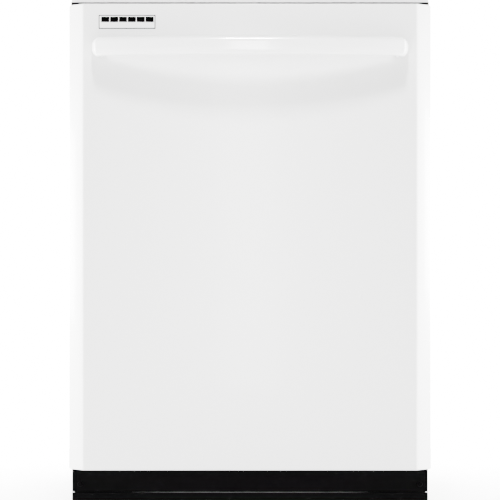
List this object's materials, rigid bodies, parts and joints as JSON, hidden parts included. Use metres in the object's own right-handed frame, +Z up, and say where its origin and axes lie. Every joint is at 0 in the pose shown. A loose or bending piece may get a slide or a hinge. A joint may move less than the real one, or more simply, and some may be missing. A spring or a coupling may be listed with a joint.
{
  "type": "built-in dishwasher",
  "caption": "Built-in dishwasher with a drop-down door, bowed bar handle, top-edge controls, stainless tub, two sliding racks and spray arms",
  "frame": {"origin": "centre of the footprint on the floor, midway between the handle's front and the base's rear", "axes": "+X right as seen from the front, -Y front (door), +Z up"},
  "size_m": [0.603, 0.69, 0.874],
  "materials": {
    "tub_steel": "fine satin stainless",
    "flange_enamel": "pale grey satin",
    "gasket_rubber": "matt black",
    "base_plastic": "matt black",
    "access_panel_enamel": "satin black",
    "toe_panel_enamel": "satin black",
    "blanket_felt": "pressed felt",
    "sump_plastic": "moulded",
    "filter_plate_plastic": "moulded",
    "filter_mesh_steel": "fine mesh",
    "wash_pump_body": "moulded",
    "drain_pump_body": "moulded",
    "inlet_valve_plastic": "moulded",
    "junction_box_steel": "zinc plated",
    "feed_tube_plastic": "moulded",
    "float_plastic": "moulded",
    "lower_arm_plastic": "moulded",
    "middle_arm_plastic": "moulded",
    "top_arm_plastic": "moulded",
    "lower_rack_coating": "nylon coated wire",
    "upper_rack_coating": "nylon coated wire",
    "tine_row_left_coating": "nylon coated wire",
    "tine_row_right_coating": "nylon coated wire",
    "basket_plastic": "moulded",
    "door_enamel": "white satin enamel",
    "liner_steel": "fine satin stainless",
    "console_plastic": "gloss black",
    "handle_enamel": "white gloss enamel",
    "vent_plastic": "white moulded",
    "duct_plastic": "moulded",
    "dispenser_plastic": "moulded",
    "lid_plastic": "moulded",
    "cap_plastic": "moulded",
    "hinge_left_steel": "plated",
    "hinge_right_steel": "plated",
    "lower_rack_left_coating": "nylon coated wire",
    "upper_rack_left_coating": "nylon coated wire",
    "track_left_steel": "satin",
    "rail_left_steel": "satin",
    "slide_left_steel": "polished",
    "wheel_front_left_nylon": "nylon",
    "leg_front_left_nylon": "nylon",
    "wheel_rear_left_nylon": "nylon",
    "leg_rear_left_nylon": "nylon",
    "lower_rack_right_coating": "nylon coated wire",
    "upper_rack_right_coating": "nylon coated wire",
    "track_right_steel": "satin",
    "rail_right_steel": "satin",
    "slide_right_steel": "polished",
    "wheel_front_right_nylon": "nylon",
    "leg_front_right_nylon": "nylon",
    "wheel_rear_right_nylon": "nylon",
    "leg_rear_right_nylon": "nylon",
    "lower_rack_front_coating": "nylon coated wire",
    "lower_rack_rear_coating": "nylon coated wire",
    "upper_rack_front_coating": "nylon coated wire",
    "upper_rack_rear_coating": "nylon coated wire",
    "button_1_plastic": "satin black",
    "button_2_plastic": "satin black",
    "button_3_plastic": "satin black"
  },
  "bodies": {
    "cabinet": {"access_panel": "access_panel_enamel", "base_frame": "base_plastic", "door_gasket": "gasket_rubber", "drain_pump": "drain_pump_body", "feed_tube": "feed_tube_plastic", "filter_plate": "filter_plate_plastic", "inlet_valve": "inlet_valve_plastic", "insulation_blanket": "blanket_felt", "junction_box": "junction_box_steel", "lower_track_left": "track_left_steel", "lower_track_right": "track_right_steel", "sump": "sump_plastic", "toe_panel": "toe_panel_enamel", "tub": "tub_steel", "tub_flange": "flange_enamel", "upper_rail_left": "rail_left_steel", "upper_rail_right": "rail_right_steel", "wash_pump": "wash_pump_body"},
    "door": {"door_panel": "door_enamel", "door_liner": "liner_steel", "control_console": "console_plastic", "handle_bar": "handle_enamel", "vent_grille": "vent_plastic", "vent_duct": "duct_plastic", "detergent_dispenser": "dispenser_plastic", "hinge_arm_left": "hinge_left_steel", "hinge_arm_right": "hinge_right_steel"},
    "button_1": {"button_1": "button_1_plastic"},
    "button_2": {"button_2": "button_2_plastic"},
    "button_3": {"button_3": "button_3_plastic"},
    "dispenser_lid": {"dispenser_lid": "lid_plastic"},
    "rinse_aid_cap": {"rinse_aid_cap": "cap_plastic"},
    "upper_rack": {"upper_rack": "upper_rack_coating", "upper_rack_front": "upper_rack_front_coating", "upper_rack_rear": "upper_rack_rear_coating", "upper_rack_left": "upper_rack_left_coating", "upper_rack_right": "upper_rack_right_coating"},
    "lower_rack": {"lower_rack": "lower_rack_coating", "lower_rack_front": "lower_rack_front_coating", "lower_rack_rear": "lower_rack_rear_coating", "lower_rack_left": "lower_rack_left_coating", "lower_rack_right": "lower_rack_right_coating"},
    "upper_slide_left": {"upper_slide_left": "slide_left_steel"},
    "rack_wheel_front_left": {"rack_wheel_front_left": "wheel_front_left_nylon"},
    "rack_wheel_rear_left": {"rack_wheel_rear_left": "wheel_rear_left_nylon"},
    "upper_slide_right": {"upper_slide_right": "slide_right_steel"},
    "rack_wheel_front_right": {"rack_wheel_front_right": "wheel_front_right_nylon"},
    "rack_wheel_rear_right": {"rack_wheel_rear_right": "wheel_rear_right_nylon"},
    "tine_row_left": {"tine_row_left": "tine_row_left_coating"},
    "tine_row_right": {"tine_row_right": "tine_row_right_coating"},
    "silverware_basket": {"silverware_basket": "basket_plastic"},
    "lower_spray_arm": {"lower_spray_arm": "lower_arm_plastic"},
    "middle_spray_arm": {"middle_spray_arm": "middle_arm_plastic"},
    "top_spray_arm": {"top_spray_arm": "top_arm_plastic"},
    "overfill_float": {"overfill_float": "float_plastic"},
    "filter_cup": {"filter_cup": "filter_mesh_steel"},
    "levelling_leg_front_left": {"levelling_leg_front_left": "leg_front_left_nylon"},
    "levelling_leg_front_right": {"levelling_leg_front_right": "leg_front_right_nylon"},
    "levelling_leg_rear_left": {"levelling_leg_rear_left": "leg_rear_left_nylon"},
    "levelling_leg_rear_right": {"levelling_leg_rear_right": "leg_rear_right_nylon"}
  },
  "joints": [
    {"name": "door_hinge", "type": "hinge", "parent": "cabinet", "child": "door", "pos_m": [0, -0.242, 0.115], "axis": [1, 0, 0], "range_deg": [0, 90], "stiffness_Nm_per_rad": 17, "springref_deg": -5.73},
    {"name": "button_1_press", "type": "slide", "parent": "door", "child": "button_1", "axis": [0, 0, -1], "range_m": [0, 0.001], "stiffness_N_per_m": 400, "springref_m": -0.0005},
    {"name": "button_2_press", "type": "slide", "parent": "door", "child": "button_2", "axis": [0, 0, -1], "range_m": [0, 0.001], "stiffness_N_per_m": 400, "springref_m": -0.0005},
    {"name": "button_3_press", "type": "slide", "parent": "door", "child": "button_3", "axis": [0, 0, -1], "range_m": [0, 0.001], "stiffness_N_per_m": 400, "springref_m": -0.0005},
    {"name": "dispenser_lid_slide", "type": "slide", "parent": "door", "child": "dispenser_lid", "axis": [-1, 0, 0], "range_m": [0, 0.078]},
    {"name": "rinse_cap_turn", "type": "hinge", "parent": "door", "child": "rinse_aid_cap", "pos_m": [0.046, -0.226, 0.5], "axis": [0, 1, 0], "range_deg": [0, 90]},
    {"name": "upper_rack_slide", "type": "slide", "parent": "cabinet", "child": "upper_rack", "axis": [0, -1, 0], "range_m": [0, 0.4713]},
    {"name": "lower_rack_slide", "type": "slide", "parent": "cabinet", "child": "lower_rack", "axis": [0, -1, 0], "range_m": [0, 0.1729]},
    {"name": "upper_slide_left_slide", "type": "slide", "parent": "cabinet", "child": "upper_slide_left", "axis": [0, -1, 0], "range_m": [0, 0.2357]},
    {"name": "rack_wheel_front_left_roll", "type": "hinge", "parent": "lower_rack", "child": "rack_wheel_front_left", "pos_m": [-0.2655, -0.03, 0.1758], "axis": [1, 0, 0], "range_deg": [0, 566]},
    {"name": "rack_wheel_rear_left_roll", "type": "hinge", "parent": "lower_rack", "child": "rack_wheel_rear_left", "pos_m": [-0.2655, 0.23, 0.1758], "axis": [1, 0, 0], "range_deg": [0, 566]},
    {"name": "upper_slide_right_slide", "type": "slide", "parent": "cabinet", "child": "upper_slide_right", "axis": [0, -1, 0], "range_m": [0, 0.2357]},
    {"name": "rack_wheel_front_right_roll", "type": "hinge", "parent": "lower_rack", "child": "rack_wheel_front_right", "pos_m": [0.2655, -0.03, 0.1758], "axis": [1, 0, 0], "range_deg": [0, 566]},
    {"name": "rack_wheel_rear_right_roll", "type": "hinge", "parent": "lower_rack", "child": "rack_wheel_rear_right", "pos_m": [0.2655, 0.23, 0.1758], "axis": [1, 0, 0], "range_deg": [0, 566]},
    {"name": "tine_row_left_fold", "type": "hinge", "parent": "lower_rack", "child": "tine_row_left", "pos_m": [-0.1, 0.09, 0.215], "axis": [0, 1, 0], "range_deg": [0, 80]},
    {"name": "tine_row_right_fold", "type": "hinge", "parent": "lower_rack", "child": "tine_row_right", "pos_m": [0.02, 0.09, 0.215], "axis": [0, 1, 0], "range_deg": [0, 80]},
    {"name": "basket_lift", "type": "slide", "parent": "lower_rack", "child": "silverware_basket", "axis": [0, 0, 1], "range_m": [0, 0.08]},
    {"name": "lower_arm_spin", "type": "hinge", "parent": "cabinet", "child": "lower_spray_arm", "pos_m": [0, 0.07, 0.188], "axis": [0, 0, 1], "continuous": true},
    {"name": "middle_arm_spin", "type": "hinge", "parent": "upper_rack", "child": "middle_spray_arm", "pos_m": [0, 0.07, 0.473], "axis": [0, 0, 1], "continuous": true},
    {"name": "top_arm_spin", "type": "hinge", "parent": "cabinet", "child": "top_spray_arm", "pos_m": [0, 0.07, 0.798], "axis": [0, 0, 1], "continuous": true},
    {"name": "float_rise", "type": "slide", "parent": "cabinet", "child": "overfill_float", "axis": [0, 0, 1], "range_m": [0, 0.008]},
    {"name": "filter_twist", "type": "hinge", "parent": "cabinet", "child": "filter_cup", "pos_m": [0, -0.025, 0.157], "axis": [0, 0, 1], "range_deg": [0, 90]},
    {"name": "levelling_leg_front_left_drop", "type": "slide", "parent": "cabinet", "child": "levelling_leg_front_left", "axis": [0, 0, -1], "range_m": [0, 0.012]},
    {"name": "levelling_leg_front_right_drop", "type": "slide", "parent": "cabinet", "child": "levelling_leg_front_right", "axis": [0, 0, -1], "range_m": [0, 0.012]},
    {"name": "levelling_leg_rear_left_drop", "type": "slide", "parent": "cabinet", "child": "levelling_leg_rear_left", "axis": [0, 0, -1], "range_m": [0, 0.012]},
    {"name": "levelling_leg_rear_right_drop", "type": "slide", "parent": "cabinet", "child": "levelling_leg_rear_right", "axis": [0, 0, -1], "range_m": [0, 0.012]}
  ],
  "couplings": [
    {"joint": "upper_rack_slide", "follows": "door_hinge", "m_per_rad": 0.3},
    {"joint": "lower_rack_slide", "follows": "door_hinge", "m_per_rad": 0.11},
    {"joint": "upper_slide_left_slide", "follows": "door_hinge", "m_per_rad": 0.15},
    {"joint": "rack_wheel_front_left_roll", "follows": "door_hinge", "ratio": 6.2857},
    {"joint": "rack_wheel_rear_left_roll", "follows": "door_hinge", "ratio": 6.2857},
    {"joint": "upper_slide_right_slide", "follows": "door_hinge", "m_per_rad": 0.15},
    {"joint": "rack_wheel_front_right_roll", "follows": "door_hinge", "ratio": 6.2857},
    {"joint": "rack_wheel_rear_right_roll", "follows": "door_hinge", "ratio": 6.2857}
  ]
}
